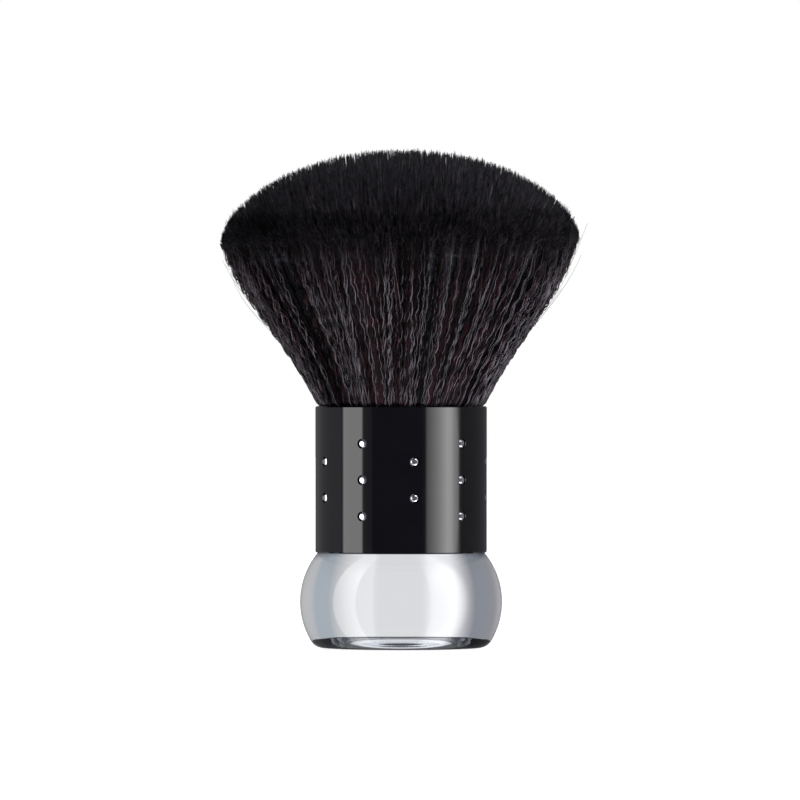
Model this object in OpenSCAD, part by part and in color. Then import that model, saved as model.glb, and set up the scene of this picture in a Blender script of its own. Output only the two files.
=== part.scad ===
// Short-handled dusting brush for nail work: a wide flared hair head in a black sleeve
// set with crystals, on a clear acrylic knob that it stands on.
// Millimetres, +Z up. The origin is the middle of the foot, on the plane that it stands on.

/* [Knob] */
// Largest radius of the clear knob
knob_r = 16.5; // [15:0.1:20]
// Height of the knob up to the shoulder that carries the sleeve
knob_h = 15.5; // [12:0.5:20]
// Height at which the knob is widest
knob_waist_z = 7.5; // [6:0.5:9]
// Radius of the arc that the knob's side follows
knob_side_arc_r = 12.5; // [12.5:0.1:14]
// Radius of the rounding between the foot and the side
foot_round_r = 2.2; // [1:0.1:3]
// Radius of the recess in the foot, which leaves a ring to stand on
recess_r = 12; // [9:0.1:12.2]
// Depth of that recess
recess_h = 2.7; // [1:0.1:3]
// Radius of the shallower middle of the recess
recess_mid_r = 9.8; // [6:0.1:11]
// Depth of the shallower middle of the recess
recess_mid_h = 2.2; // [0.5:0.1:2.5]
// Height of the tenon that stands inside the sleeve
tenon_h = 6.5; // [4:0.5:8]

/* [Sleeve] */
// Outer radius of the sleeve
sleeve_r = 14; // [13.6:0.1:15]
// Height of the sleeve
sleeve_h = 23.9; // [20:0.1:30]
// Wall of the sleeve
sleeve_wall = 1.2; // [1:0.1:1.6]
// Chamfer on the sleeve's outer edges
sleeve_chamfer = 0.2; // [0.1:0.05:0.4]

/* [Crystals] */
// Diameter of one crystal
crystal_d = 1.5; // [1.2:0.1:2]
// Gap around a crystal in its pocket
pocket_gap = 0.06; // [0.02:0.01:0.12]
// Depth of a pocket below the sleeve's surface
pocket_depth = 0.85; // [0.8:0.05:0.9]
// Vertical distance from one crystal to the next in a column
crystal_pitch = 5.88; // [4:0.02:6.5]
// Turn of the first column from the front, towards the right
first_column_turn = 9; // [0:1:35]

/* [Ferrule] */
// Wall of the inner metal cup
cup_wall = 0.4; // [0.3:0.05:0.6]
// Distance from the sleeve's top down to the cup's lip
cup_lip_drop = 0.8; // [0.4:0.1:2]
// Thickness of the adhesive between the tenon and the cup
tenon_glue_t = 0.4; // [0.2:0.1:0.8]
// Depth of the casting resin that the hair's roots are set in
resin_h = 2.5; // [2:0.5:4]
// Diameter of the cord that ties the roots
binding_d = 0.7; // [0.5:0.1:0.9]
// Turns of that cord
binding_turns = 3; // [2:1:5]

/* [Hair] */
// Radius of the hair head at its widest
hair_r = 29.3; // [24:0.1:34]
// Height of the widest ring above the foot
hair_rim_z = 66; // [60:0.5:72]
// Rise of the domed top above the widest ring
dome_h = 15.1; // [10:0.1:20]
// Radius of the hair just above the sleeve
hair_neck_r = 13.7; // [13:0.1:14]

/* [Hidden] */
smooth = 96;
column_count = 10;
column_step = 360 / column_count;
tall_column = 3;
short_column = 2;
table_share = 0.56;
crown_h = 0.24;
girdle_h = 0.06;
culet_d = 0.1;
culet_clearance = 0.1;
film = 0.02;
flank_steps = 14;
dome_steps = 18;
dome_power = 1.17;

side_x = knob_r - knob_side_arc_r;
foot_r = side_x + sqrt(pow(knob_side_arc_r - foot_round_r, 2) - pow(knob_waist_z - foot_round_r, 2));
tangent_z = knob_waist_z
    - (knob_waist_z - foot_round_r) * knob_side_arc_r / (knob_side_arc_r - foot_round_r);
bore_r = sleeve_r - sleeve_wall;
sleeve_top = knob_h + sleeve_h;
crystal_mid_z = knob_h + sleeve_h / 2;
pocket_r = crystal_d / 2 + pocket_gap;
tenon_top = knob_h + tenon_h;
cup_z = tenon_top + tenon_glue_t;
cup_r = bore_r;
cup_inner_r = cup_r - cup_wall;
cup_top = sleeve_top - cup_lip_drop;
resin_z = cup_z + cup_wall;
root_z = resin_z + resin_h;
binding_z = root_z + binding_d;
tied_top = binding_z + binding_turns * binding_d;
tied_r = cup_inner_r - binding_d;

// Each crystal as [turn from the front, height]. Columns take three and two crystals in turn.
function rows_in(column) = column % 2 == 0 ? short_column : tall_column;
CRYSTALS = [
    for (column = [0 : column_count - 1])
        for (row = [0 : rows_in(column) - 1])
            [
                first_column_turn + column * column_step,
                crystal_mid_z + (row - (rows_in(column) - 1) / 2) * crystal_pitch
            ]
];

function crystal_name(i) = str("crystal_", i < 9 ? "0" : "", i + 1);

// Point at share t of a cubic curve with end points a, d and handles b, c
function curve_at(a, b, c, d, t) =
    pow(1 - t, 3) * a + 3 * pow(1 - t, 2) * t * b + 3 * (1 - t) * t * t * c + pow(t, 3) * d;

// The hair's outline above the sleeve: it splays over the rim, runs out as a flank and closes in a dome
neck = [hair_neck_r, sleeve_top + 0.7];
rim = [hair_r, hair_rim_z];
flank = [
    for (i = [0 : flank_steps])
        curve_at(neck, neck + [5.2, 9.8], rim - [2.4, 9.2], rim, i / flank_steps)
];
dome = [
    for (i = [1 : dome_steps])
        [hair_r * cos(90 * i / dome_steps), hair_rim_z + dome_h * pow(sin(90 * i / dome_steps), dome_power)]
];

// Stands a shape that faces +Z on the sleeve's surface, facing outwards
module on_sleeve(turn, z)
    rotate([0, 0, turn - 90]) translate([sleeve_r, 0, z]) rotate([0, 90, 0]) children();

// Half outline of the bulging knob: one arc up its side, which a smaller one meets at the foot
module knob_outline() {
    intersection() {
        translate([side_x, knob_waist_z]) circle(knob_side_arc_r, $fn = smooth);
        translate([0, tangent_z]) square([knob_r, knob_h - tangent_z]);
    }
    intersection() {
        translate([foot_r, foot_round_r]) circle(foot_round_r, $fn = smooth);
        square([knob_r, foot_round_r]);
    }
    square([foot_r, knob_waist_z]);
}

// Half outline of the recess in the foot
module recess_outline() {
    translate([-1, -1]) square([recess_mid_r + 2, recess_mid_h + 1]);
    translate([recess_mid_r, -1]) square([recess_r - recess_mid_r, recess_h + 1]);
}

// Clear knob with a recessed foot and the tenon that the sleeve is pushed over
module knob() color([0.85, 0.87, 0.9, 0.5]) rotate_extrude($fn = smooth) difference() {
    union() {
        knob_outline();
        square([bore_r, tenon_top]);
    }
    recess_outline();
}

// Adhesive between the tenon and the cup
module tenon_glue() color([0.8, 0.8, 0.75])
    translate([0, 0, tenon_top]) cylinder(h = tenon_glue_t, r = bore_r, $fn = smooth);

// Black sleeve, with a drilled blind pocket for each crystal
module sleeve() color([0.05, 0.05, 0.06]) difference() {
    rotate_extrude($fn = smooth) polygon([
        [bore_r, knob_h],
        [sleeve_r - sleeve_chamfer, knob_h],
        [sleeve_r, knob_h + sleeve_chamfer],
        [sleeve_r, sleeve_top - sleeve_chamfer],
        [sleeve_r - sleeve_chamfer, sleeve_top],
        [bore_r, sleeve_top]
    ]);
    for (place = CRYSTALS)
        on_sleeve(place[0], place[1])
            translate([0, 0, -pocket_depth]) cylinder(h = 2 * pocket_depth, r = pocket_r, $fn = smooth);
}

// Drawn metal cup that holds the roots
module ferrule_cup() color([0.78, 0.78, 0.8]) difference() {
    translate([0, 0, cup_z]) cylinder(h = cup_top - cup_z, r = cup_r, $fn = smooth);
    translate([0, 0, cup_z + cup_wall]) cylinder(h = cup_top, r = cup_inner_r, $fn = smooth);
}

// Cast resin in the bottom of the cup
module root_resin() color([0.75, 0.65, 0.4])
    translate([0, 0, resin_z]) cylinder(h = resin_h, r = cup_inner_r, $fn = smooth);

// Cord that ties the roots, one ring for each turn
module root_binding() color([0.9, 0.88, 0.8])
    for (turn = [0 : binding_turns - 1])
        translate([0, 0, binding_z + (turn + 0.5) * binding_d])
            rotate_extrude($fn = smooth)
                translate([tied_r + binding_d / 2, 0]) circle(d = binding_d, $fn = 24);

// Whole head of hair, from its tied root to its domed top
module hair_head() color([0.09, 0.08, 0.1])
    rotate_extrude($fn = smooth) polygon(concat(
        [
            [0, root_z],
            [cup_inner_r, root_z],
            [cup_inner_r, binding_z],
            [tied_r, binding_z],
            [tied_r, tied_top],
            [cup_inner_r, tied_top],
            [cup_inner_r, sleeve_top]
        ],
        flank,
        dome
    ));

// Faceted crystal, its table level with the sleeve's surface and its point inwards
module crystal(place) color([0.9, 0.92, 0.95]) on_sleeve(place[0], place[1]) hull() {
    translate([0, 0, -film]) cylinder(h = film, d = crystal_d * table_share, $fn = 8);
    translate([0, 0, -crown_h - girdle_h]) cylinder(h = girdle_h, d = crystal_d, $fn = 12);
    translate([0, 0, culet_clearance - pocket_depth]) cylinder(h = film, d = culet_d, $fn = 8);
}

// Dots of adhesive on the pockets' floors, one under each crystal
module crystal_glue() color([0.7, 0.7, 0.65])
    for (place = CRYSTALS)
        on_sleeve(place[0], place[1])
            translate([0, 0, -pocket_depth]) cylinder(h = culet_clearance, r = pocket_r, $fn = smooth);

knob();
tenon_glue();
sleeve();
ferrule_cup();
root_resin();
root_binding();
hair_head();
crystal_glue();
for (i = [0 : len(CRYSTALS) - 1])
    crystal(CRYSTALS[i]);
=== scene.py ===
import math
import random

import bmesh
import bpy
from bpy.props import FloatProperty, IntProperty, PointerProperty, StringProperty
from mathutils import Matrix, Vector
from mathutils.geometry import interpolate_bezier


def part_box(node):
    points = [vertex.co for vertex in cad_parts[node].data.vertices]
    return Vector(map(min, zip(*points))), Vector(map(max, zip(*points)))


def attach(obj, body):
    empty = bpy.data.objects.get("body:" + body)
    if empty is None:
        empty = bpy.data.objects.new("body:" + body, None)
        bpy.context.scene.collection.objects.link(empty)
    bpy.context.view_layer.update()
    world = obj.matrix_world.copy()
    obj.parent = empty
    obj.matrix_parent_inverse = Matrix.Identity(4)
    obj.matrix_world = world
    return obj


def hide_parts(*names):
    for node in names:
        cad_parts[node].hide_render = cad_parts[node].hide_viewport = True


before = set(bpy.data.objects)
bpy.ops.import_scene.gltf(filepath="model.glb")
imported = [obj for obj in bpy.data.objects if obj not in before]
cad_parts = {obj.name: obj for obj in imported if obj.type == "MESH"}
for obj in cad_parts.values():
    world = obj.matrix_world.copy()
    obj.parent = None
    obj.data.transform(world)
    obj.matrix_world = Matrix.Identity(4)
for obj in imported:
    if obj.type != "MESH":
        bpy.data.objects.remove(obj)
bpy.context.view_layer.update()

bl_info = {
    "name": "Nail dusting brush",
    "version": (1, 0, 0),
    "blender": (4, 5, 0),
    "location": "3D View > Sidebar > Brush",
    "description": "Builds the looks of a short nail dusting brush around its CAD frame",
    "category": "Add Mesh",
}

MM = 0.001
BODY = "root"
# Radius at which a turned outline meets the axis, small enough to be merged into one pole
POLE = 0.0001 * MM
MERGE = 0.001 * MM
# Turned faces that meet at more than this are shaded with a crisp edge
SHARP_ANGLE = math.radians(30)
# Turn from one lock or tuft to the next that spreads them evenly however many there are
GOLDEN_TURN = math.pi * (3 - math.sqrt(5))

SLEEVE_LOW, SLEEVE_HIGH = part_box("sleeve")
KNOB_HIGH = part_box("knob")[1]
HEAD_LOW, HEAD_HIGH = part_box("hair_head")
CUP_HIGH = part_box("ferrule_cup")[1]
CORD_LOW, CORD_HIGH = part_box("root_binding")
CRYSTALS = sorted(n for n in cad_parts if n.startswith("crystal_") and n != "crystal_glue")


# ---------------------------------------------------------------- sizes and colours


class KnobSizes(bpy.types.PropertyGroup):
    waist_z: FloatProperty(
        name="Waist height",
        description="Height above the foot at which the knob is widest",
        default=7.5 * MM,
        unit="LENGTH",
    )
    side_arc: FloatProperty(
        name="Side arc",
        description="Radius of the arc that the knob's side follows",
        default=12.5 * MM,
        unit="LENGTH",
    )
    foot_round: FloatProperty(
        name="Foot rounding",
        description="Radius of the rounding between the foot and the side",
        default=2.2 * MM,
        unit="LENGTH",
    )
    recess_r: FloatProperty(
        name="Recess radius",
        description="Radius of the recess in the foot",
        default=12 * MM,
        unit="LENGTH",
    )
    recess: FloatProperty(
        name="Recess depth",
        description="Depth of the recess in the foot",
        default=2.7 * MM,
        unit="LENGTH",
    )
    recess_mid_r: FloatProperty(
        name="Middle radius",
        description="Radius of the shallower middle of the recess",
        default=9.8 * MM,
        unit="LENGTH",
    )
    recess_mid: FloatProperty(
        name="Middle depth",
        description="Depth of the shallower middle of the recess",
        default=2.2 * MM,
        unit="LENGTH",
    )
    edge: FloatProperty(
        name="Broken edge",
        description="Width of the small bevel on the knob's turned edges",
        default=0.15 * MM,
        unit="LENGTH",
    )
    fit_gap: FloatProperty(
        name="Fit gap",
        description="Air left between the polished acrylic and the parts it sits against",
        default=0.04 * MM,
        unit="LENGTH",
    )


class HairSizes(bpy.types.PropertyGroup):
    dome_rise: FloatProperty(
        name="Dome rise",
        description="Rise of the domed top above the widest ring of hair",
        default=15.1 * MM,
        unit="LENGTH",
    )
    length_d: FloatProperty(
        name="Hair diameter",
        description="Diameter of a drawn hair, coarser than the real 0.1 mm so that it shows",
        default=0.17 * MM,
        unit="LENGTH",
    )
    tip_d: FloatProperty(
        name="Tip diameter",
        description="Diameter of a hair where it nears its tip",
        default=0.15 * MM,
        unit="LENGTH",
    )
    crimp_wave: FloatProperty(
        name="Crimp wavelength",
        description="Distance from one wave of the crimped hair to the next",
        default=3.0 * MM,
        unit="LENGTH",
    )
    crimp_depth: FloatProperty(
        name="Crimp depth",
        description="How far a hair swings to each side of its run",
        default=0.13 * MM,
        unit="LENGTH",
    )
    locks: IntProperty(
        name="Locks",
        description="Locks of long hair round the outside of the head",
        default=820,
    )
    hairs_per_lock: IntProperty(name="Hairs per lock", description="Long hairs in one lock", default=8)
    strays: IntProperty(name="Strays", description="Loose hairs that stand off the head", default=70)
    tufts: IntProperty(name="Tufts", description="Pointed tufts over the domed top", default=6600)
    hairs_per_tuft: IntProperty(name="Hairs per tuft", description="Hairs in one tuft", default=5)
    tilt: FloatProperty(
        name="Tilt",
        description="Lean of the worn head of hair towards its left",
        default=math.radians(1.0),
        subtype="ANGLE",
    )


class BrushColours(bpy.types.PropertyGroup):
    hair_black: StringProperty(name="Black hair", description="Most of the hair", default="#0c080c")
    hair_brown: StringProperty(name="Brown hair", description="Locks whose dye has faded", default="#381a23")
    # Pale grey as painted sheen: black hair drawn lighter where it would catch the light
    hair_glossy_painted_sheen: StringProperty(name="Glossy hair", description="Hairs that glint", default="#8a838d")
    hair_tip: StringProperty(name="Hair tips", description="Hair towards its tips", default="#0b0a0d")
    hair_parted: StringProperty(name="Parted tips", description="Tips where they part", default="#38363f")
    sleeve: StringProperty(name="Sleeve", description="Black moulded sleeve", default="#060608")
    acrylic: StringProperty(name="Acrylic", description="Tint of the clear knob", default="#fafcff")
    foil: StringProperty(name="Foil", description="Silver foil behind the crystals", default="#f4f5f7")
    cup: StringProperty(name="Cup", description="Metal cup in the sleeve", default="#d2d3d6")
    resin: StringProperty(name="Resin", description="Resin that holds the roots", default="#b08a4a")
    # Near black as painted shade, for the dark hollow of the sleeve seen up through the clear knob
    adhesive: StringProperty(name="Adhesive", description="Adhesive between the parts", default="#131318")
    cord: StringProperty(name="Cord", description="Cord that ties the roots", default="#cfc7b2")


# ---------------------------------------------------------------- helpers


def linear(hex_colour, strength=1.0):
    """The linear colour of an sRGB hex value times a strength, with alpha 1."""
    parts = [int(hex_colour[i : i + 2], 16) / 255 for i in (1, 3, 5)]
    parts = [p / 12.92 if p <= 0.04045 else ((p + 0.055) / 1.055) ** 2.4 for p in parts]
    return (*[strength * p for p in parts], 1.0)


def grey(value):
    """A linear grey with alpha 1."""
    return (value, value, value, 1.0)


def add_node(tree, kind, inputs=None, stops=(), **settings):
    """Adds a node with its settings, links or sets its inputs, and gives a colour ramp its stops."""
    made = tree.nodes.new(kind)
    for name, value in settings.items():
        setattr(made, name, value)
    for socket, value in (inputs or {}).items():
        if isinstance(value, bpy.types.NodeSocket):
            tree.links.new(value, made.inputs[socket])
        else:
            made.inputs[socket].default_value = value
    for i, (position, colour) in enumerate(stops):
        elements = made.color_ramp.elements
        element = elements[i] if i < len(elements) else elements.new(position)
        element.position, element.color = position, colour
    return made


def new_material(name, **constants):
    """A material with one Principled shader, whose plain values are set on its own sockets."""
    material = bpy.data.materials.new(name)
    material.use_nodes = True
    shader = material.node_tree.nodes["Principled BSDF"]
    for socket, value in constants.items():
        shader.inputs[socket.replace("_", " ")].default_value = value
    return material, material.node_tree, shader


def wear(piece, *materials):
    """Gives the slots of a piece these materials, the last of them to every slot left over."""
    while len(piece.material_slots) < len(materials):
        piece.data.materials.append(None)
    for i, slot in enumerate(piece.material_slots):
        slot.material = materials[min(i, len(materials) - 1)]


def new_piece(name, mesh, materials, node):
    """Makes a mesh a piece of the brush that stands for a CAD node, with its finish from a slot."""
    mesh.name = name
    piece = bpy.data.objects.new(name, mesh)
    bpy.context.scene.collection.objects.link(piece)
    wear(piece, *materials)
    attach(piece, BODY)
    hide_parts(node)


def lathe(points, steps):
    """A mesh turned about Z from a half outline of (radius, height) points.

    Both ends of the outline meet the axis, so the mesh is closed once its poles are merged.
    """
    bm = bmesh.new()
    verts = [bm.verts.new((r, 0, z)) for r, z in points]
    edges = [bm.edges.new(pair) for pair in zip(verts, verts[1:])]
    bmesh.ops.spin(
        bm,
        geom=verts + edges,
        cent=(0, 0, 0),
        axis=(0, 0, 1),
        angle=math.tau,
        steps=steps,
        use_merge=True,
    )
    bmesh.ops.remove_doubles(bm, verts=bm.verts[:], dist=MERGE)
    bmesh.ops.recalc_face_normals(bm, faces=bm.faces[:])
    for face in bm.faces:
        face.smooth = True
    mesh = bpy.data.meshes.new("turned")
    bm.to_mesh(mesh)
    bm.free()
    mesh.set_sharp_from_angle(angle=SHARP_ANGLE)
    return mesh


def arc(centre, radius, start, end, steps):
    """Points (x, z) along an arc about a centre, angles in radians from +X."""
    turns = [start + (end - start) * i / steps for i in range(steps + 1)]
    return [(centre[0] + radius * math.cos(a), centre[1] + radius * math.sin(a)) for a in turns]


# ---------------------------------------------------------------- materials


# How often the Wave texture repeats in tau at scale 1, on rings and along a diagonal
RING_RATE = 20
DIAGONAL_RATE = 10


def mottle(tree, shader, size, dark, light, rough, stretch=(1, 1, 1)):
    """Varies a finish with noise of this size in metres, and returns the noise.

    The colour goes from dark to light and the roughness over its range, and a stretch under 1 draws
    the pattern out along that axis.
    """
    place = add_node(tree, "ShaderNodeTexCoord")
    drawn = add_node(tree, "ShaderNodeMapping", {"Vector": place.outputs["Object"], "Scale": stretch})
    noise = add_node(
        tree, "ShaderNodeTexNoise", {"Vector": drawn.outputs[0], "Scale": 1 / size, "Detail": 2.0}
    )
    colour = add_node(
        tree, "ShaderNodeValToRGB", {"Fac": noise.outputs["Fac"]}, [(0.35, dark), (0.62, light)]
    )
    shine = add_node(
        tree,
        "ShaderNodeMapRange",
        {
            "Value": noise.outputs["Fac"],
            "From Min": 0.3,
            "From Max": 0.7,
            "To Min": rough[0],
            "To Max": rough[1],
        },
    )
    tree.links.new(colour.outputs["Color"], shader.inputs["Base Color"])
    tree.links.new(shine.outputs["Result"], shader.inputs["Roughness"])
    return noise


def raise_bumps(tree, shader, pattern, height):
    """Raises the light parts of a pattern by this height in metres."""
    bump = add_node(tree, "ShaderNodeBump", {"Height": pattern, "Strength": 1.0, "Distance": height})
    tree.links.new(bump.outputs["Normal"], shader.inputs["Normal"])


def polished_cast_acrylic(colours):
    # Turned and polished PMMA: clear as water, with a breath of haze in patches where hands hold it
    material, tree, shader = new_material(
        "polished_cast_acrylic", Base_Color=linear(colours.acrylic), Transmission_Weight=1.0, IOR=1.491
    )
    place = add_node(tree, "ShaderNodeTexCoord")
    haze = add_node(tree, "ShaderNodeTexNoise", {"Vector": place.outputs["Object"], "Scale": 1 / (5 * MM)})
    rough = add_node(
        tree,
        "ShaderNodeMapRange",
        {"Value": haze.outputs["Fac"], "From Min": 0.45, "From Max": 0.7, "To Min": 0.0, "To Max": 0.008},
    )
    tree.links.new(rough.outputs["Result"], shader.inputs["Roughness"])
    return material


def turned_cast_acrylic(colours):
    # The recess as the lathe left it: clear, with rings of tool marks that split the light into ellipses
    material, tree, shader = new_material(
        "turned_cast_acrylic", Base_Color=linear(colours.acrylic), Transmission_Weight=1.0, IOR=1.491
    )
    place = add_node(tree, "ShaderNodeTexCoord")
    # Real tool marks are finer, so they are drawn at a pitch that shows
    pitch = 1.3 * MM
    rings = add_node(
        tree,
        "ShaderNodeTexWave",
        {"Vector": place.outputs["Object"], "Scale": math.tau / (RING_RATE * pitch)},
        wave_type="RINGS",
        rings_direction="Z",
    )
    rough = add_node(
        tree, "ShaderNodeMapRange", {"Value": rings.outputs["Fac"], "To Min": 0.0, "To Max": 0.01}
    )
    tree.links.new(rough.outputs["Result"], shader.inputs["Roughness"])
    raise_bumps(tree, shader, rings.outputs["Fac"], 0.02 * MM)
    return material


def moulded_gloss_abs(colours):
    # ABS from a polished mould: deep black gloss, smudged in patches, with the faintest ripple of flow
    material, tree, shader = new_material("moulded_gloss_abs", IOR=1.54)
    noise = mottle(
        tree,
        shader,
        size=6 * MM,
        dark=linear(colours.sleeve, 0.85),
        light=linear(colours.sleeve, 1.25),
        rough=(0.045, 0.07),
    )
    raise_bumps(tree, shader, noise.outputs["Fac"], 0.001 * MM)
    return material


def drawn_aluminium(colours):
    # Deep-drawn aluminium: soft bands of shine from the draw lines that run up its wall
    material, tree, shader = new_material("drawn_aluminium", Metallic=1.0)
    mottle(
        tree,
        shader,
        size=0.4 * MM,
        dark=linear(colours.cup, 0.8),
        light=linear(colours.cup),
        rough=(0.25, 0.42),
        stretch=(1, 1, 0.03),
    )
    return material


def cast_epoxy_resin(colours):
    # Poured epoxy, set amber: a glossy skin over cloudy streaks
    material, tree, shader = new_material("cast_epoxy_resin", IOR=1.55)
    mottle(
        tree,
        shader,
        size=2.5 * MM,
        dark=linear(colours.resin, 0.7),
        light=linear(colours.resin),
        rough=(0.12, 0.3),
    )
    return material


def black_adhesive_painted_shade(colours):
    # Toughened epoxy, squeezed out and cured: satin and a little lumpy, and near black as painted shade for
    # the dark hollow of the sleeve seen up through the clear knob
    material, tree, shader = new_material("black_adhesive_painted_shade", IOR=1.55)
    noise = mottle(
        tree,
        shader,
        size=0.8 * MM,
        dark=linear(colours.adhesive, 0.7),
        light=linear(colours.adhesive, 1.3),
        rough=(0.2, 0.4),
    )
    raise_bumps(tree, shader, noise.outputs["Fac"], 0.01 * MM)
    return material


def waxed_cotton_cord(colours):
    # Waxed cotton laid from twisted yarn: pale, dull and ribbed at the pitch of its lay
    material, tree, shader = new_material("waxed_cotton_cord", Specular_IOR_Level=0.35)
    mottle(
        tree,
        shader,
        size=0.3 * MM,
        dark=linear(colours.cord, 0.75),
        light=linear(colours.cord),
        rough=(0.65, 0.9),
    )
    place = add_node(tree, "ShaderNodeTexCoord")
    lay = 0.5 * MM
    yarn = add_node(
        tree,
        "ShaderNodeTexWave",
        {"Vector": place.outputs["Object"], "Scale": math.tau / (DIAGONAL_RATE * lay), "Distortion": 0.5},
        bands_direction="DIAGONAL",
    )
    raise_bumps(tree, shader, yarn.outputs["Fac"], 0.05 * MM)
    return material


def foiled_glass(colours):
    # Cut glass backed with silver foil: mirror facets under a clear skin, faintly stippled by the foil
    material, tree, shader = new_material(
        "foiled_glass", Metallic=1.0, Coat_Weight=1.0, Coat_IOR=1.6, Coat_Roughness=0.01
    )
    mottle(
        tree,
        shader,
        size=0.3 * MM,
        dark=linear(colours.foil, 0.65),
        light=linear(colours.foil),
        rough=(0.06, 0.12),
    )
    return material


def dyed_nylon(name, root, tip, rough, gloss):
    # Crimped nylon fibre: glossy along its length, with painted glints where its colour is multiplied down
    # in patches, so that it seems to glint on and off, painted shade at its root by the sleeve's mouth, and
    # ground matt and darker where it nears its tip, partly the tip's own black and partly painted shade
    # where the sheen of the lengths dies out
    material, tree, shader = new_material(name, IOR=1.53, Specular_IOR_Level=gloss)
    uv = add_node(tree, "ShaderNodeUVMap")
    along = add_node(tree, "ShaderNodeSeparateXYZ", {"Vector": uv.outputs["UV"]})
    # Painted shade: dark at the root where the hair leaves the sleeve's mouth, and darker towards the tip,
    # partly the tip's own black and partly painted shade where the sheen dies out
    painted_end_shade = add_node(
        tree,
        "ShaderNodeValToRGB",
        {"Fac": along.outputs["X"]},
        [(0.0, tip), (0.05, root), (0.74, root), (1.0, tip)],
    )
    # Painted glints: patches of noise multiply the colour down, so that a hair seems to glint on and off
    # along its length
    place = add_node(tree, "ShaderNodeTexCoord")
    patch = add_node(
        tree,
        "ShaderNodeTexNoise",
        {"Vector": place.outputs["Object"], "Scale": 1 / (2.6 * MM), "Detail": 1.0},
    )
    painted_glints = add_node(
        tree, "ShaderNodeValToRGB", {"Fac": patch.outputs["Fac"]}, [(0.36, grey(0.3)), (0.62, grey(1.0))]
    )
    colour = add_node(
        tree,
        "ShaderNodeMix",
        {"Factor": 1.0, 6: painted_end_shade.outputs["Color"], 7: painted_glints.outputs["Color"]},
        data_type="RGBA",
        blend_type="MULTIPLY",
    )
    shine = add_node(
        tree,
        "ShaderNodeMapRange",
        {"Value": along.outputs["X"], "From Min": 0.6, "From Max": 0.98, "To Min": rough, "To Max": 0.75},
    )
    tree.links.new(colour.outputs[2], shader.inputs["Base Color"])
    tree.links.new(shine.outputs["Result"], shader.inputs["Roughness"])
    return material


def ground_nylon_tips(colours):
    # Ends of the nylon hair, ground to fine points: deep black and matt, greyer where tips part
    material, tree, shader = new_material("ground_nylon_tips", IOR=1.53, Specular_IOR_Level=0.3)
    mottle(
        tree,
        shader,
        size=0.6 * MM,
        dark=linear(colours.hair_tip, 0.5),
        light=linear(colours.hair_parted),
        rough=(0.7, 0.8),
    )
    return material


def hair_materials(colours):
    """The finishes of the hair, made once: ground tips, then the black, brown and glossy lengths, the glossy
    ones pale grey with painted sheen.
    """
    names = ("ground_nylon_tips", "dyed_nylon_black", "dyed_nylon_brown", "dyed_nylon_glossy_painted_sheen")
    if names[0] not in bpy.data.materials:
        tip = linear(colours.hair_tip)
        ground_nylon_tips(colours)
        dyed_nylon(names[1], linear(colours.hair_black), tip, rough=0.45, gloss=0.08)
        dyed_nylon(names[2], linear(colours.hair_brown), tip, rough=0.4, gloss=0.15)
        dyed_nylon(names[3], linear(colours.hair_glossy_painted_sheen), tip, rough=0.22, gloss=0.5)
    return [bpy.data.materials[name] for name in names]


# ---------------------------------------------------------------- hair


# Order of the dyes in the slots of the long hair, the glossy one pale grey with painted sheen
BLACK, BROWN, GLOSSY_PAINTED_SHEEN = 0, 1, 2
# Points along a hair of a lock on the outside of the head, and of one behind those
OUTER_STEPS = 44
INNER_STEPS = 13
# Two locks in every five lie on the outside
LOCK_CYCLE = 5
OUTER_PER_CYCLE = 2
# Share of a hair's run at which it starts inside the cup, and at which it begins to taper
ROOT_SHARE = 0.02
TAPER_SHARE = 0.75
# How hairs lie in a lock: the spread to the side in millimetres, of the wave's phase and of the
# drift in degrees, and their thickness; ridge hairs lie loose and the others cling together
LOOSE = (0.4, 0.8, 2.6, (0.4, 0.85))
CLINGING = (0.26, 0.3, 0.9, (0.6, 1.0))
STRAY_STEPS = 9
TUFT_STEPS = 5


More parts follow.
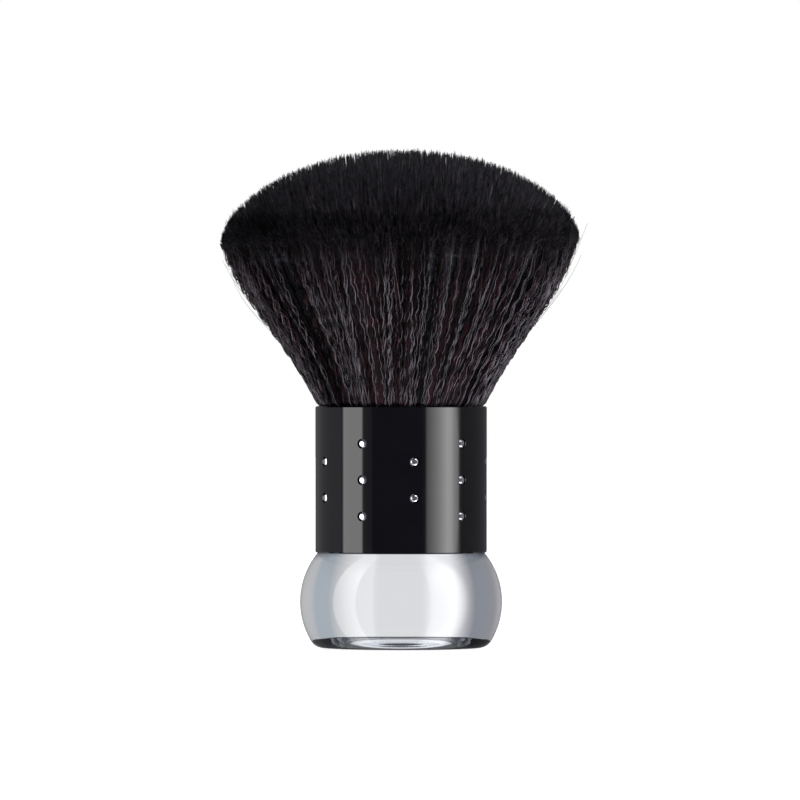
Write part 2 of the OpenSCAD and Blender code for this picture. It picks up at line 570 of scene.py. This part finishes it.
class HairField:
    """The run of every hair: from the sleeve's mouth, over its rim and out to the dome."""

    # Points on the way out of the mouth and the start of the flank, in millimetres from the sleeve's
    # top edge, outwards and upwards
    MOUTH = ((-2.2, -2.2), (-1.6, -0.7), (-1.1, 0.08), (-0.55, 0.1), (-0.25, 0.2))
    NECK = (-0.15, 0.5)
    # Handles of the curve that the flank follows, in millimetres from its two ends
    NECK_HANDLE = (4.5, 9.4)
    RIM_HANDLE = (2.6, 9.2)
    FLANK_STEPS = 24
    # A half is an ellipse's own dome, and more makes it more pointed
    DOME_POWER = 0.565
    # Length of a tuft, and how far its foot is drawn in at the edge of the dome
    TUFT_DEPTH = 6.0 * MM
    TUCK = 2.2 * MM
    # Height that the head leans about, as a share of the way from the sleeve to its widest ring
    PIVOT = 0.6

    def __init__(self, sizes):
        edge = Vector((SLEEVE_HIGH.x, SLEEVE_HIGH.z))
        self.sizes = sizes
        self.mouth_z = SLEEVE_HIGH.z
        self.rim_r = HEAD_HIGH.x
        self.rim_z = HEAD_HIGH.z - sizes.dome_rise
        rim = Vector((self.rim_r, self.rim_z))
        neck = edge + Vector(self.NECK) * MM
        flank = interpolate_bezier(
            neck,
            neck + Vector(self.NECK_HANDLE) * MM,
            rim - Vector(self.RIM_HANDLE) * MM,
            rim,
            self.FLANK_STEPS,
        )
        self.outline = [edge + Vector(point) * MM for point in self.MOUTH] + flank
        gone = [0.0]
        for a, b in zip(self.outline, self.outline[1:]):
            gone.append(gone[-1] + (b - a).length)
        self.length = gone[-1]
        self.shares = [g / self.length for g in gone]

    def on_outline(self, t):
        """Point at share t of the outermost hair, which runs on straight past its end."""
        if t >= 1:
            a, b = self.outline[-2], self.outline[-1]
            return b + (b - a).normalized() * (t - 1) * self.length
        i = max(k for k, share in enumerate(self.shares) if share <= t)
        low, high = self.shares[i], self.shares[i + 1]
        return self.outline[i].lerp(self.outline[i + 1], (t - low) / (high - low))

    def rise(self, u):
        """Height above the sleeve of the tip of a hair that starts at share u of the radius."""
        flat = self.rim_z - self.mouth_z
        return flat + self.sizes.dome_rise * max(0.0, 1 - u * u) ** self.DOME_POWER

    def point(self, u, turn, t):
        """Point at share t of the hair that starts at share u of the radius, at that turn."""
        out = self.on_outline(t)
        height = out.y - self.mouth_z
        if height > 0:
            height *= self.rise(u) / self.rise(1)
        r = out.x * u
        return self.lean(Vector((r * math.cos(turn), r * math.sin(turn), self.mouth_z + height)))

    def lean(self, p):
        """Tilts the head of hair a little, more towards its top."""
        share = min(1.0, max(0.0, (p.z - self.mouth_z) / (self.rim_z - self.mouth_z)))
        centre = Vector((0, 0, self.mouth_z + self.PIVOT * (self.rim_z - self.mouth_z)))
        return centre + Matrix.Rotation(-self.sizes.tilt * share, 3, "Y") @ (p - centre)


def triangle_section(radius):
    """A small closed triangle, the cross-section that every hair is drawn with along its run."""
    profile = bpy.data.curves.new("hair_section", "CURVE")
    profile.dimensions = "2D"
    ring = profile.splines.new("POLY")
    ring.points.add(2)
    for i, point in enumerate(ring.points):
        angle = i * math.tau / 3
        point.co = (radius * math.cos(angle), radius * math.sin(angle), 0, 1)
    ring.use_cyclic_u = True
    section = bpy.data.objects.new("hair_section", profile)
    bpy.context.scene.collection.objects.link(section)
    return section


def hairs_to_mesh(hairs, diameter):
    """Sweeps the section along each hair and returns one mesh.

    A hair is the index of its dye in the piece's slots and its run of (point, thickness share).
    The curve gets its slots before its splines, because a spline keeps only a slot that exists.
    """
    section = triangle_section(diameter / 2)
    data = bpy.data.curves.new("hairs", "CURVE")
    data.dimensions = "3D"
    data.bevel_mode = "OBJECT"
    data.bevel_object = section
    data.use_fill_caps = True
    for _ in range(1 + max(dye for dye, _ in hairs)):
        data.materials.append(None)
    for dye, run in hairs:
        spline = data.splines.new("POLY")
        spline.points.add(len(run) - 1)
        spline.points.foreach_set("co", [c for p, _ in run for c in (p.x, p.y, p.z, 1.0)])
        spline.points.foreach_set("radius", [thick for _, thick in run])
        spline.use_smooth = True
        spline.material_index = dye
    swept = bpy.data.objects.new("hairs", data)
    bpy.context.scene.collection.objects.link(swept)
    depsgraph = bpy.context.evaluated_depsgraph_get()
    mesh = bpy.data.meshes.new_from_object(swept.evaluated_get(depsgraph))
    for helper in (swept, section):
        curve = helper.data
        bpy.data.objects.remove(helper)
        bpy.data.curves.remove(curve)
    return mesh


def grow_lock(field, rng, turn, u, outer):
    """Long crimped hairs that share one run and one wave, as hair that clings together does.

    A lock on the outside has up to three glossy ridge hairs, thin and loose, that lie on top of it
    and are pale grey with painted sheen.
    """
    sizes = field.sizes
    steps = OUTER_STEPS if outer else INNER_STEPS
    phase = rng.uniform(0, math.tau)
    wave = sizes.crimp_wave * rng.uniform(0.7, 1.4)
    depth = sizes.crimp_depth * rng.uniform(0.5, 1.6)
    drift = rng.gauss(0, math.radians(2.4))
    lock_dye = rng.choice((BLACK, BLACK, BROWN, BROWN))
    ridges = rng.choice((0, 0, 1, 1, 2, 3)) if outer else 0
    hairs = []
    for n in range(sizes.hairs_per_lock):
        ridge = n < ridges
        aside, off_phase, off_drift, thickness = LOOSE if ridge else CLINGING
        side = rng.gauss(0, aside * MM)
        inwards = 0.0 if ridge else abs(rng.gauss(0.1, 0.22)) * MM
        own_phase = phase + rng.gauss(0, off_phase)
        own_depth = depth * rng.uniform(0.6, 1.4)
        own_drift = drift + rng.gauss(0, math.radians(off_drift))
        end = 1 + rng.gauss(0, 0.3 * MM) / field.length
        thick = rng.uniform(*thickness)
        dye = GLOSSY_PAINTED_SHEEN if ridge else lock_dye
        run = []
        for i in range(steps):
            t = ROOT_SHARE + (end - ROOT_SHARE) * i / (steps - 1)
            # A lock is drawn together at both ends, and its crimp grows over its first fifth
            gather = 0.4 + 0.8 * math.sin(math.pi * min(1.0, t))
            grown = min(1.0, 5 * t)
            along = t * field.length
            swing = own_depth * math.sin(math.tau * along / wave + own_phase) * grown
            bob = 0.6 * own_depth * math.cos(math.tau * along / wave + own_phase) * grown
            middle = max(field.on_outline(t).x, 1 * MM)
            own_turn = turn + own_drift * (t - 0.15) + (side * gather + swing) / middle
            own_u = u - inwards * gather / middle + bob / middle
            taper = 1.0 if t < TAPER_SHARE else 1.0 - 0.65 * (t - TAPER_SHARE) / (1 - TAPER_SHARE)
            run.append((field.point(min(own_u, 1.003), own_turn, t), thick * max(taper, 0.3)))
        hairs.append((dye, run))
    return hairs


def grow_stray(field, rng, turn):
    """One fine hair that has come loose from the others and stands off the head."""
    start = rng.uniform(0.3, 0.75)
    end = start + rng.uniform(0.2, 0.45)
    away = rng.uniform(0.3, 1.2) * MM
    drift = rng.gauss(0, math.radians(7))
    bend = rng.gauss(0, 0.3 * MM)
    run = []
    for i in range(STRAY_STEPS):
        share = i / (STRAY_STEPS - 1)
        t = start + (end - start) * share
        middle = field.on_outline(t).x
        off = (away * share**1.6 + bend * math.sin(math.pi * share)) / middle
        p = field.point(1 + off, turn + drift * (share - 0.2) * 0.5, t)
        run.append((p, 0.5 - 0.25 * share))
    # Most strays take the glossy hair's pale grey, which is painted sheen
    return (rng.choice((BROWN, GLOSSY_PAINTED_SHEEN, GLOSSY_PAINTED_SHEEN)), run)


def grow_tuft(field, rng, u, turn):
    """Short upper ends of hairs whose tips draw together into a point.

    Towards the rim of the dome more of them keep the colour of their lengths, brown or the pale grey
    of painted sheen.
    """
    reach = field.rise(u)
    tip_shift = rng.gauss(0, 0.13 * MM) / reach
    depth = field.TUFT_DEPTH / reach
    lean_turn = rng.gauss(0, 0.2 * MM)
    lean_out = rng.gauss(0, 0.2 * MM)
    dyed = 0.5 if u > 0.95 else 0.3 if u > 0.85 else 0.18
    hairs = []
    for _ in range(field.sizes.hairs_per_tuft):
        side, out = rng.gauss(0, 0.28 * MM), rng.gauss(0, 0.28 * MM)
        end = 1 + tip_shift + rng.gauss(0, 0.13 * MM) / reach
        run = []
        for i in range(TUFT_STEPS):
            share = i / (TUFT_STEPS - 1)
            spread = 1.0 - 0.7 * share
            across = side * spread + lean_turn * share
            outwards = out * spread + lean_out * share - field.TUCK * (1 - share) * u**4
            own_u = max(0.0, u + outwards / field.rim_r)
            own_turn = turn + across / max(field.rim_r * u, 1.0 * MM)
            p = field.point(min(own_u, 1.0), own_turn, end - depth * (1 - share))
            run.append((p, 1.0 - 0.7 * share**1.5))
        # Slot 0 holds the tips' own finish, and the next two the brown dye and the glossy hair's pale grey,
        # which is painted sheen
        slot = rng.choice((1, 2)) if rng.random() < dyed else 0
        hairs.append((slot, run))
    return hairs


class BRUSH_OT_hair_core(bpy.types.Operator):
    """Turns the dark mass inside the head of hair, from its tied root to just under the dome"""

    bl_idname = "brush.hair_core"
    bl_label = "Hair core"

    # How far it lies under the dome, and its radius as a share of the hair's outline
    SUNK = 2.6 * MM
    INSET = 0.93
    # Share of the flank's length at which its side meets the dome
    SIDE_END = 0.92
    DOME_STEPS = 24
    SIDE_STEPS = 20
    TURN_STEPS = 96
    ROOT_GAP = 0.05 * MM
    CORD_TURNS = 3
    # How far under the cup's lip the roots fill the cup
    LIP_DROP = 2 * MM

    def execute(self, context):
        field = HairField(context.scene.brush_hair)
        tips = hair_materials(context.scene.brush_colours)[0]
        points = []
        for i in range(self.DOME_STEPS + 1):
            u = i / self.DOME_STEPS
            r = max(field.rim_r * self.INSET * u, POLE)
            points.append((r, field.mouth_z + field.rise(u) - self.SUNK))
        for i in range(1, self.SIDE_STEPS):
            out = field.on_outline(self.SIDE_END * (1 - i / self.SIDE_STEPS))
            points.append((out.x * self.INSET, out.y))
        points += self.root()
        mesh = lathe(points, self.TURN_STEPS)
        for vertex in mesh.vertices:
            vertex.co = field.lean(vertex.co)
        new_piece("hair_mass", mesh, [tips], "hair_head")
        return {"FINISHED"}

    def root(self):
        """Outline of the roots in the cup, drawn in where the cord ties them."""
        gap = self.ROOT_GAP
        full = CORD_HIGH.x - gap
        tied = full - (CORD_HIGH.z - CORD_LOW.z) / self.CORD_TURNS
        foot = HEAD_LOW.z + gap
        return [
            (full, CUP_HIGH.z - self.LIP_DROP),
            (full, CORD_HIGH.z + gap),
            (tied, CORD_HIGH.z + gap),
            (tied, CORD_LOW.z - gap),
            (full, CORD_LOW.z - gap),
            (full, foot),
            (POLE, foot),
        ]


class BRUSH_OT_hair_lengths(bpy.types.Operator):
    """Grows the long crimped hairs of the flank in locks, with a few strays"""

    bl_idname = "brush.hair_lengths"
    bl_label = "Long hair"

    PIECES = 6

    def execute(self, context):
        settings = context.scene.brush_hair
        dyes = hair_materials(context.scene.brush_colours)[1:]
        field = HairField(settings)
        rng = random.Random(7)
        locks = []
        for k in range(settings.locks):
            outer = k % LOCK_CYCLE < OUTER_PER_CYCLE
            u = 1.0 - rng.uniform(0, 0.014) if outer else 0.975 - rng.uniform(0, 0.05)
            locks.append(((k * GOLDEN_TURN) % math.tau, u, outer))
        locks.sort()
        strays = sorted(rng.uniform(0, math.tau) for _ in range(settings.strays))
        share = math.tau / self.PIECES
        for n in range(self.PIECES):
            low, high = n * share, (n + 1) * share
            hairs = []
            for turn, u, outer in locks:
                if low <= turn < high:
                    hairs += grow_lock(field, rng, turn, u, outer)
            hairs += [grow_stray(field, rng, turn) for turn in strays if low <= turn < high]
            mesh = hairs_to_mesh(hairs, settings.length_d)
            new_piece(f"hair_lengths_{n + 1}", mesh, dyes, "hair_head")
        return {"FINISHED"}


class BRUSH_OT_hair_tips(bpy.types.Operator):
    """Grows the pointed tufts over the dome"""

    bl_idname = "brush.hair_tips"
    bl_label = "Hair tips"

    PIECES = 5

    def execute(self, context):
        settings = context.scene.brush_hair
        tips, _, brown, glossy = hair_materials(context.scene.brush_colours)
        field = HairField(settings)
        rng = random.Random(11)
        tufts = []
        for k in range(settings.tufts):
            # Even steps down a half sphere give every tuft the same area
            down = (k + 0.5) / settings.tufts
            u = math.sin(math.acos(1 - down))
            turn = k * GOLDEN_TURN + rng.uniform(-0.02, 0.02) / max(u, 0.05)
            tufts.append((turn % math.tau, u))
        tufts.sort()
        share = math.ceil(len(tufts) / self.PIECES)
        for n in range(self.PIECES):
            hairs = []
            for turn, u in tufts[n * share : (n + 1) * share]:
                hairs += grow_tuft(field, rng, u, turn)
            mesh = hairs_to_mesh(hairs, settings.tip_d)
            # The glossy slot's pale grey is painted sheen
            new_piece(f"hair_tips_{n + 1}", mesh, [tips, brown, glossy], "hair_head")
        return {"FINISHED"}


# ---------------------------------------------------------------- hard parts


class BRUSH_OT_knob(bpy.types.Operator):
    """Turns the clear acrylic knob with its tenon and the recess in its foot"""

    bl_idname = "brush.knob"
    bl_label = "Acrylic knob"

    TURN_STEPS = 192
    FOOT_STEPS = 14
    SIDE_STEPS = 48

    def execute(self, context):
        sizes = context.scene.brush_knob
        points = self.recess(sizes) + self.side(sizes) + self.tenon(sizes)
        mesh = lathe(points, self.TURN_STEPS)
        for face in mesh.polygons:
            in_recess = face.center.xy.length < sizes.recess_r - sizes.edge
            face.material_index = int(in_recess and face.center.z < sizes.recess + sizes.edge)
        colours = context.scene.brush_colours
        materials = [polished_cast_acrylic(colours), turned_cast_acrylic(colours)]
        new_piece("clear_knob", mesh, materials, "knob")
        return {"FINISHED"}

    def recess(self, sizes):
        """Outline of the stepped recess, from the axis out to the ring that the knob stands on."""
        edge = sizes.edge
        step_r = sizes.recess_mid_r + edge
        return [
            (POLE, sizes.recess_mid),
            (sizes.recess_mid_r, sizes.recess_mid),
            (step_r, sizes.recess_mid + edge),
            (step_r, sizes.recess),
            (sizes.recess_r - edge, sizes.recess),
            (sizes.recess_r, sizes.recess - edge),
            (sizes.recess_r, 0.0),
        ]

    def side(self, sizes):
        """Outline of the foot's rounding and the bulging side, up to the shoulder."""
        centre_x = KNOB_HIGH.x - sizes.side_arc
        reach = sizes.side_arc - sizes.foot_round
        drop = sizes.waist_z - sizes.foot_round
        foot_x = centre_x + math.sqrt(reach**2 - drop**2)
        low_turn = -math.asin(drop / reach)
        high_turn = math.asin((SLEEVE_LOW.z - sizes.fit_gap - sizes.waist_z) / sizes.side_arc)
        foot = arc((foot_x, sizes.foot_round), sizes.foot_round, -math.pi / 2, low_turn, self.FOOT_STEPS)
        side = arc((centre_x, sizes.waist_z), sizes.side_arc, low_turn, high_turn, self.SIDE_STEPS)
        return foot + side[1:]

    def tenon(self, sizes):
        """Outline of the tenon that stands inside the sleeve."""
        edge = sizes.edge
        shoulder_z = SLEEVE_LOW.z - sizes.fit_gap
        r = CUP_HIGH.x - sizes.fit_gap
        top = KNOB_HIGH.z - sizes.fit_gap
        return [
            (r + edge, shoulder_z),
            (r, shoulder_z + edge),
            (r, top - edge),
            (r - edge, top),
            (POLE, top),
        ]


class BRUSH_OT_sleeve(bpy.types.Operator):
    """Finishes the black sleeve"""

    bl_idname = "brush.sleeve"
    bl_label = "Sleeve"

    def execute(self, context):
        wear(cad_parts["sleeve"], moulded_gloss_abs(context.scene.brush_colours))
        return {"FINISHED"}


class BRUSH_OT_cup(bpy.types.Operator):
    """Finishes the metal cup that holds the roots"""

    bl_idname = "brush.cup"
    bl_label = "Cup"

    def execute(self, context):
        wear(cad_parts["ferrule_cup"], drawn_aluminium(context.scene.brush_colours))
        return {"FINISHED"}


class BRUSH_OT_roots(bpy.types.Operator):
    """Finishes the cord that ties the roots and the resin that they are set in"""

    bl_idname = "brush.roots"
    bl_label = "Root cord and resin"

    def execute(self, context):
        wear(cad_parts["root_binding"], waxed_cotton_cord(context.scene.brush_colours))
        wear(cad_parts["root_resin"], cast_epoxy_resin(context.scene.brush_colours))
        return {"FINISHED"}


class BRUSH_OT_adhesive(bpy.types.Operator):
    """Finishes the adhesive above the tenon and under the crystals"""

    bl_idname = "brush.adhesive"
    bl_label = "Adhesive"

    def execute(self, context):
        material = black_adhesive_painted_shade(context.scene.brush_colours)
        for name in ("tenon_glue", "crystal_glue"):
            wear(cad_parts[name], material)
        return {"FINISHED"}


class BRUSH_OT_crystals(bpy.types.Operator):
    """Finishes the foiled crystals"""

    bl_idname = "brush.crystals"
    bl_label = "Crystals"

    def execute(self, context):
        material = foiled_glass(context.scene.brush_colours)
        for name in CRYSTALS:
            wear(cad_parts[name], material)
        return {"FINISHED"}


# ---------------------------------------------------------------- studio


def by_turn(stops):
    """Ramp stops from (degrees to the right of the front, colour), for a ramp that goes all round."""
    return [((degrees + 180) / 360, colour) for degrees, colour in stops]


def by_height(stops):
    """Ramp stops from (sine of the angle above level, colour), for a ramp from below to above."""
    return [((sine + 1) / 2, colour) for sine, colour in stops]


class BRUSH_OT_stage(bpy.types.Operator):
    """Sets the pale floor, the soft boxes, the walls and the camera"""

    bl_idname = "brush.stage"
    bl_label = "Studio"

    CAMERA_AWAY = 1.2
    CAMERA_X = -0.18 * MM
    CAMERA_Z = 40.4 * MM
    # Width of the picture at the brush
    VIEW_WIDTH = 130.6 * MM
    SENSOR = 36.0
    FLOOR_R = 4.0
    # Just under the foot, so that the two faces don't coincide
    FLOOR_DROP = 0.2 * MM
    # Walls and cards round the brush as its polished parts mirror them, by degrees to the right of
    # the front, from behind round by the left
    WALLS = (
        (-180, "#59595d"),
        (-158, "#737376"),
        (-148, "#858586"),
        (-130, "#89898e"),
        (-110, "#9999a2"),
        (-90, "#adadb6"),
        (-84, "#86868b"),
        (-54, "#95959e"),
        (-41, "#81818e"),
        (-38, "#595765"),
        (28, "#595765"),
        (33, "#7c7986"),
        (88, "#76767e"),
        (130, "#69696f"),
        (180, "#59595d"),
    )
    # What is seen through the acrylic, the same way round: a pale sweep behind, flagged at both sides
    SWEEP = (
        (-180, "#e1e1e1"),
        (-172, "#e1e1e1"),
        (-168, "#f7f7f7"),
        (-158, "#efefef"),
        (-150, "#adadb1"),
        (-145, "#85888f"),
        (-132, "#85888f"),
        (-122, "#89898e"),
        (-104, "#bcbcbc"),
        (-90, "#cbcbcb"),
        (90, "#dadada"),
        (110, "#c5c4c5"),
        (128, "#bcbcbf"),
        (134, "#a4adb5"),
        (146, "#a6adb3"),
        (152, "#c5c5c7"),
        (158, "#dddddd"),
        (163, "#ececec"),
        (169, "#efefef"),
        (170.5, "#e1e1e1"),
        (180, "#e1e1e1"),
    )
    # Brightness of the two soft boxes by degrees, the left one flat and the right one feathered
    SOFT_BOXES = (
        (-85, 0.0),
        (-84, 3.7),
        (-54, 4.0),
        (-53, 0.0),
        (33, 0.0),
        (35, 1.4),
        (50, 3.9),
        (65, 7.2),
        (71, 6.6),
        (77, 4.2),
        (84, 0.9),
        (88, 0.0),
    )
    # A ramp holds colours up to 1, so the soft boxes are kept in it at this fraction
    BOX_SCALE = 10.0
    # How strong walls, sweep, boxes and table are by the sine of the angle above level
    WALL_REACH = ((-1.0, 1.0), (0.36, 1.0), (0.52, 0.12), (1.0, 0.1))
    SWEEP_REACH = (
        (-1.0, "#3a4a63"),
        (-0.5, "#42526b"),
        (-0.4, "#ffffff"),
        (0.34, "#ffffff"),
        (0.46, "#848fa0"),
        (1.0, "#76808f"),
    )
    BOX_REACH = ((-0.9, 0.6), (0.6, 1.0), (0.85, 0.25), (1.0, 0.1))
    TABLE_REACH = ((-1.0, 0.9), (-0.8, 0.8), (-0.62, 0.0))

    def execute(self, context):
        scene = context.scene
        scene.view_settings.view_transform = "Standard"
        lens = bpy.data.cameras.new("camera")
        lens.sensor_width = self.SENSOR
        lens.lens = self.SENSOR * self.CAMERA_AWAY / self.VIEW_WIDTH
        lens.clip_start, lens.clip_end = 0.01, 20
        camera = bpy.data.objects.new("camera", lens)
        camera.location = (self.CAMERA_X, -self.CAMERA_AWAY, self.CAMERA_Z)
        camera.rotation_euler = (math.pi / 2, 0, 0)
        scene.collection.objects.link(camera)
        scene.camera = camera
        self.floor(scene)
        self.light(scene)
        return {"FINISHED"}

    def floor(self, scene):
        """The white table top, which glows a little to the camera alone so that no shadow muddies it."""
        bm = bmesh.new()
        bmesh.ops.create_circle(bm, cap_ends=True, segments=96, radius=self.FLOOR_R)
        bmesh.ops.translate(bm, verts=bm.verts[:], vec=(0, 0, -self.FLOOR_DROP))
        mesh = bpy.data.meshes.new("floor")
        bm.to_mesh(mesh)
        bm.free()
        floor = bpy.data.objects.new("floor", mesh)
        scene.collection.objects.link(floor)
        # Matt white laminate: no shine of its own
        material, tree, shader = new_material(
            "white_laminate", Base_Color=grey(0.8), Roughness=0.9, Specular_IOR_Level=0.0
        )
        ray = add_node(tree, "ShaderNodeLightPath")
        glow = add_node(
            tree, "ShaderNodeEmission", {"Strength": ray.outputs["Is Camera Ray"], "Color": grey(0.85)}
        )
        both = add_node(tree, "ShaderNodeAddShader", {0: shader.outputs[0], 1: glow.outputs[0]})
        tree.links.new(both.outputs[0], tree.nodes["Material Output"].inputs["Surface"])
        wear(floor, material)
        floor.visible_glossy = False
        floor.visible_transmission = False

    def light(self, scene):
        """The studio as reflections and the clear knob see it, and plain white behind to the camera."""
        world = bpy.data.worlds.new("studio")
        world.use_nodes = True
        scene.world = world
        tree = world.node_tree
        tree.nodes.clear()
        place = add_node(tree, "ShaderNodeTexCoord")
        axes = add_node(tree, "ShaderNodeSeparateXYZ", {"Vector": place.outputs["Generated"]})
        front = add_node(tree, "ShaderNodeMath", {0: axes.outputs["Y"], 1: -1.0}, operation="MULTIPLY")
        turn = add_node(
            tree, "ShaderNodeMath", {0: axes.outputs["X"], 1: front.outputs[0]}, operation="ARCTAN2"
        )
        round_share = add_node(
            tree,
            "ShaderNodeMapRange",
            {"Value": turn.outputs[0], "From Min": -math.pi, "From Max": math.pi},
        )
        up_share = add_node(
            tree,
            "ShaderNodeMapRange",
            {"Value": axes.outputs["Z"], "From Min": -1.0, "From Max": 1.0},
        )
        walls, sweep, boxes = [
            add_node(tree, "ShaderNodeValToRGB", {"Fac": round_share.outputs["Result"]}, by_turn(stops))
            for stops in (
                [(degrees, linear(colour)) for degrees, colour in self.WALLS],
                [(degrees, linear(colour)) for degrees, colour in self.SWEEP],
                [(degrees, grey(glow / self.BOX_SCALE)) for degrees, glow in self.SOFT_BOXES],
            )
        ]
        wall_reach, sweep_reach, box_reach, table = [
            add_node(tree, "ShaderNodeValToRGB", {"Fac": up_share.outputs["Result"]}, by_height(stops))
            for stops in (
                [(sine, grey(strength)) for sine, strength in self.WALL_REACH],
                [(sine, linear(colour)) for sine, colour in self.SWEEP_REACH],
                [(sine, grey(strength)) for sine, strength in self.BOX_REACH],
                [(sine, grey(strength)) for sine, strength in self.TABLE_REACH],
            )
        ]
        lamps = add_node(
            tree,
            "ShaderNodeVectorMath",
            {0: boxes.outputs["Color"], 1: box_reach.outputs["Color"]},
            operation="MULTIPLY",
        )
        lamps = add_node(
            tree, "ShaderNodeVectorMath", {0: lamps.outputs[0], "Scale": self.BOX_SCALE}, operation="SCALE"
        )
        room = add_node(
            tree,
            "ShaderNodeVectorMath",
            {0: walls.outputs["Color"], 1: wall_reach.outputs["Color"], 2: lamps.outputs[0]},
            operation="MULTIPLY_ADD",
        )
        mirrored = add_node(
            tree, "ShaderNodeVectorMath", {0: room.outputs[0], 1: table.outputs["Color"]}, operation="ADD"
        )
        through = add_node(
            tree,
            "ShaderNodeVectorMath",
            {0: sweep.outputs["Color"], 1: sweep_reach.outputs["Color"]},
            operation="MULTIPLY",
        )
        ray = add_node(tree, "ShaderNodeLightPath")
        around = add_node(
            tree,
            "ShaderNodeMix",
            {"Factor": ray.outputs["Is Transmission Ray"], 6: mirrored.outputs[0], 7: through.outputs[0]},
            data_type="RGBA",
        )
        seen = add_node(
            tree,
            "ShaderNodeMix",
            {"Factor": ray.outputs["Is Camera Ray"], 6: around.outputs[2], 7: grey(1.0)},
            data_type="RGBA",
        )
        back = add_node(tree, "ShaderNodeBackground", {"Color": seen.outputs[2]})
        add_node(tree, "ShaderNodeOutputWorld", {"Surface": back.outputs[0]})


# ---------------------------------------------------------------- add-on


class BRUSH_PT_panel(bpy.types.Panel):
    """Lists the brush's pieces in the sidebar"""

    bl_idname = "BRUSH_PT_panel"
    bl_label = "Nail dusting brush"
    bl_space_type = "VIEW_3D"
    bl_region_type = "UI"
    bl_category = "Brush"

    def draw(self, context):
        for operator in OPERATORS:
            self.layout.operator(operator.bl_idname)


OPERATORS = (
    BRUSH_OT_stage,
    BRUSH_OT_knob,
    BRUSH_OT_sleeve,
    BRUSH_OT_cup,
    BRUSH_OT_roots,
    BRUSH_OT_adhesive,
    BRUSH_OT_crystals,
    BRUSH_OT_hair_core,
    BRUSH_OT_hair_lengths,
    BRUSH_OT_hair_tips,
)
GROUPS = {"brush_knob": KnobSizes, "brush_hair": HairSizes, "brush_colours": BrushColours}


def register():
    for group in GROUPS.values():
        bpy.utils.register_class(group)
    for name, group in GROUPS.items():
        setattr(bpy.types.Scene, name, PointerProperty(type=group))
    for operator in (*OPERATORS, BRUSH_PT_panel):
        bpy.utils.register_class(operator)


def unregister():
    for operator in (*OPERATORS, BRUSH_PT_panel):
        bpy.utils.unregister_class(operator)
    for name, group in GROUPS.items():
        delattr(bpy.types.Scene, name)
        bpy.utils.unregister_class(group)


def main():
    register()
    bpy.ops.brush.stage()
    bpy.ops.brush.knob()
    bpy.ops.brush.sleeve()
    bpy.ops.brush.cup()
    bpy.ops.brush.roots()
    bpy.ops.brush.adhesive()
    bpy.ops.brush.crystals()
    bpy.ops.brush.hair_core()
    bpy.ops.brush.hair_lengths()
    bpy.ops.brush.hair_tips()


if __name__ == "__main__":
    main()
